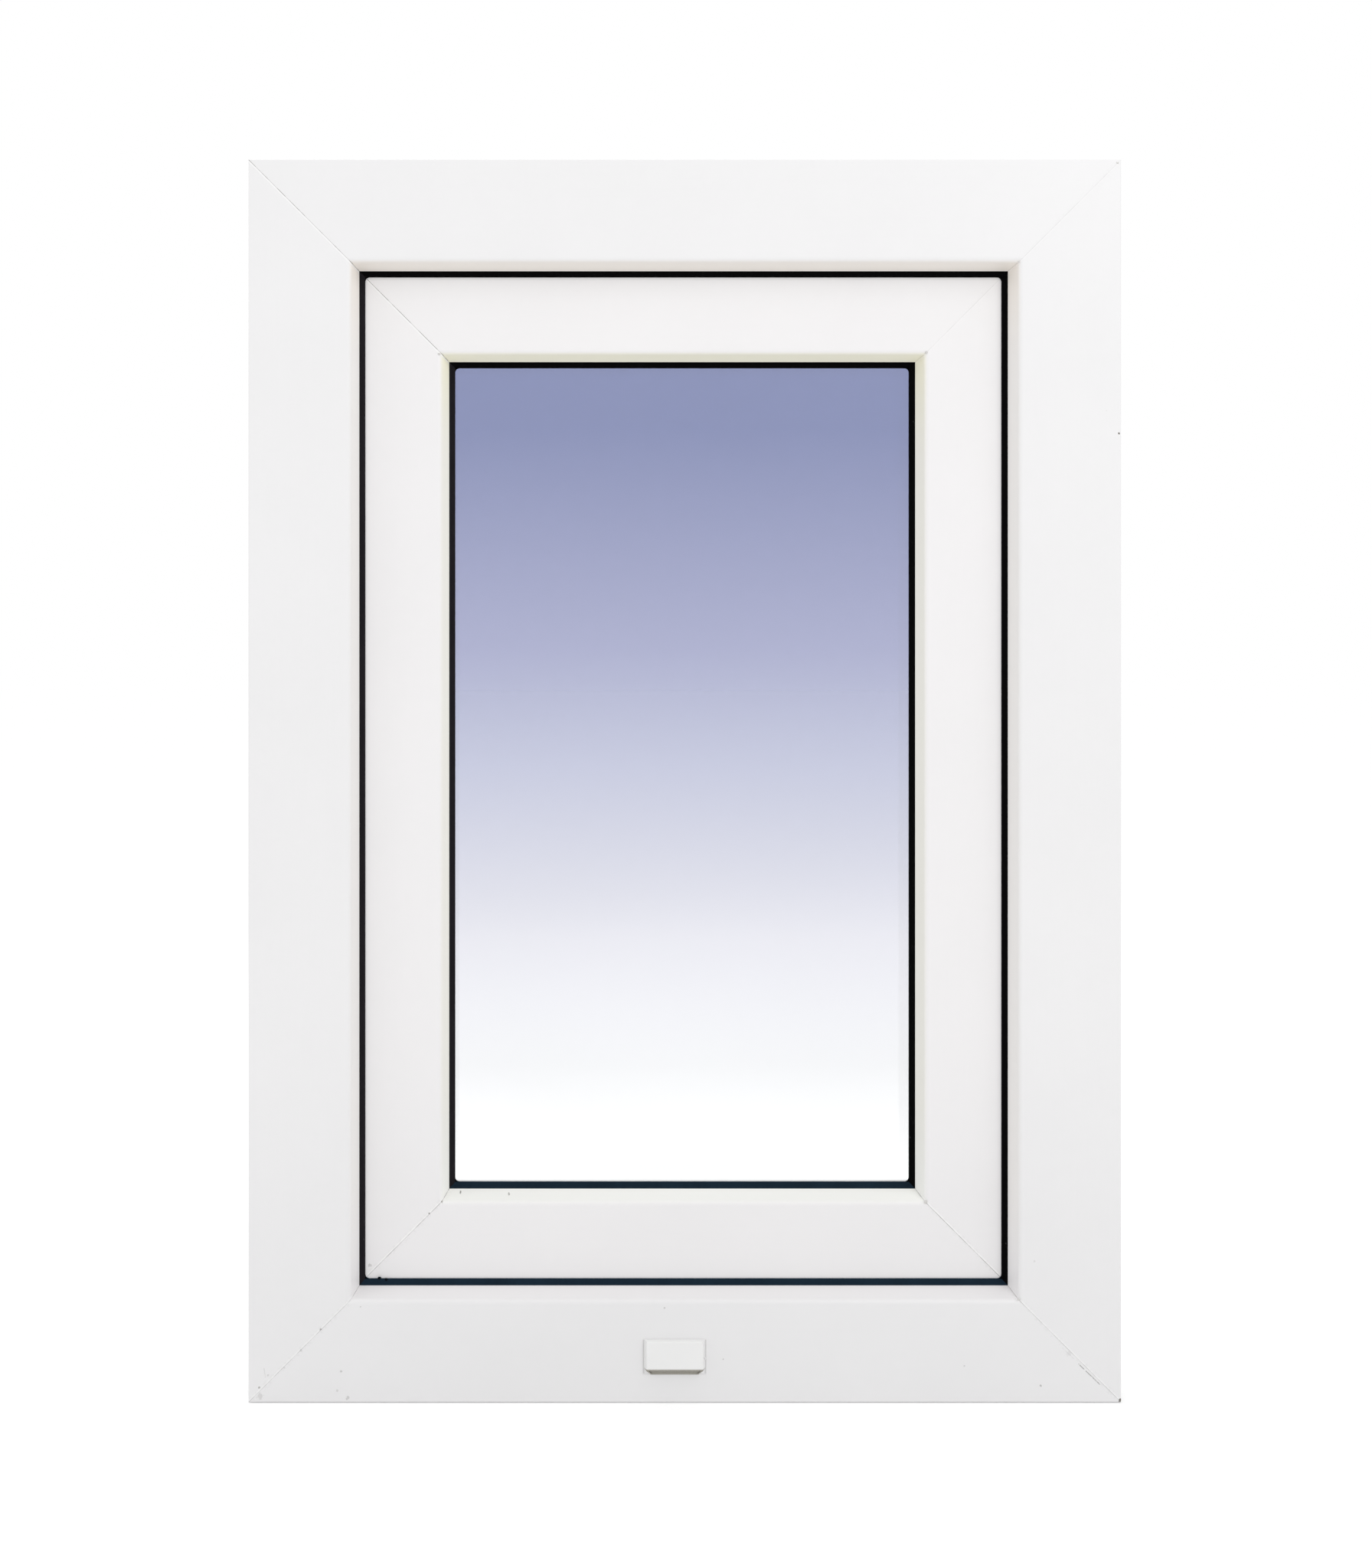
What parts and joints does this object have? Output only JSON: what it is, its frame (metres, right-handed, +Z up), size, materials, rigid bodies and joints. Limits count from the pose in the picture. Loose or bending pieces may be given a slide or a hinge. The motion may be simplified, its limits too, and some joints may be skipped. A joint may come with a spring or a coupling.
{
  "type": "tilt and turn window",
  "caption": "White plastic tilt and turn window: mitred frame and inward opening sash, sealed double glazing, black gaskets, drain cap, room side lever handle and hinges, shown closed",
  "frame": {"origin": "middle of the frame sill's underside, half way through the frame's depth", "axes": "+Z up, -Y towards the outdoors, +Y towards the room, +X to the right seen from outdoors"},
  "size_m": [0.5, 0.1391, 0.712],
  "materials": {
    "frame_plastic": "white, smooth satin",
    "sash_plastic": "white, smooth satin",
    "bead_plastic": "white, smooth satin",
    "cap_plastic": "white, moulded",
    "gasket_rubber": "black, matte",
    "window_glass": "clear float glass",
    "spacer_metal": "mill finish",
    "block_plastic": "moulded",
    "handle_finish": "white powder coat",
    "hinge_finish": "white powder coat",
    "pin_steel": "zinc plated"
  },
  "bodies": {
    "root": {"bead_gasket_bottom": "gasket_rubber", "bead_gasket_left": "gasket_rubber", "bead_gasket_right": "gasket_rubber", "bead_gasket_top": "gasket_rubber", "drain_cap": "cap_plastic", "frame_gasket_bottom": "gasket_rubber", "frame_gasket_left": "gasket_rubber", "frame_gasket_right": "gasket_rubber", "frame_gasket_top": "gasket_rubber", "frame_head": "frame_plastic", "frame_left_jamb": "frame_plastic", "frame_right_jamb": "frame_plastic", "frame_sill": "frame_plastic", "glass_spacer_bottom": "spacer_metal", "glass_spacer_left": "spacer_metal", "glass_spacer_right": "spacer_metal", "glass_spacer_top": "spacer_metal", "glazing_bead_bottom": "bead_plastic", "glazing_bead_left": "bead_plastic", "glazing_bead_right": "bead_plastic", "glazing_bead_top": "bead_plastic", "glazing_gasket_bottom": "gasket_rubber", "glazing_gasket_left": "gasket_rubber", "glazing_gasket_right": "gasket_rubber", "glazing_gasket_top": "gasket_rubber", "handle_lever": "handle_finish", "handle_rosette": "handle_finish", "inner_glass_pane": "window_glass", "lower_hinge_frame_part": "hinge_finish", "lower_hinge_sash_part": "hinge_finish", "outer_glass_pane": "window_glass", "sash_bottom_rail": "sash_plastic", "sash_gasket_bottom": "gasket_rubber", "sash_gasket_left": "gasket_rubber", "sash_gasket_right": "gasket_rubber", "sash_gasket_top": "gasket_rubber", "sash_left_stile": "sash_plastic", "sash_right_stile": "sash_plastic", "sash_top_rail": "sash_plastic", "setting_blocks": "block_plastic", "upper_hinge_frame_part": "hinge_finish", "upper_hinge_pin": "pin_steel", "upper_hinge_sash_part": "hinge_finish"}
  },
  "joints": []
}
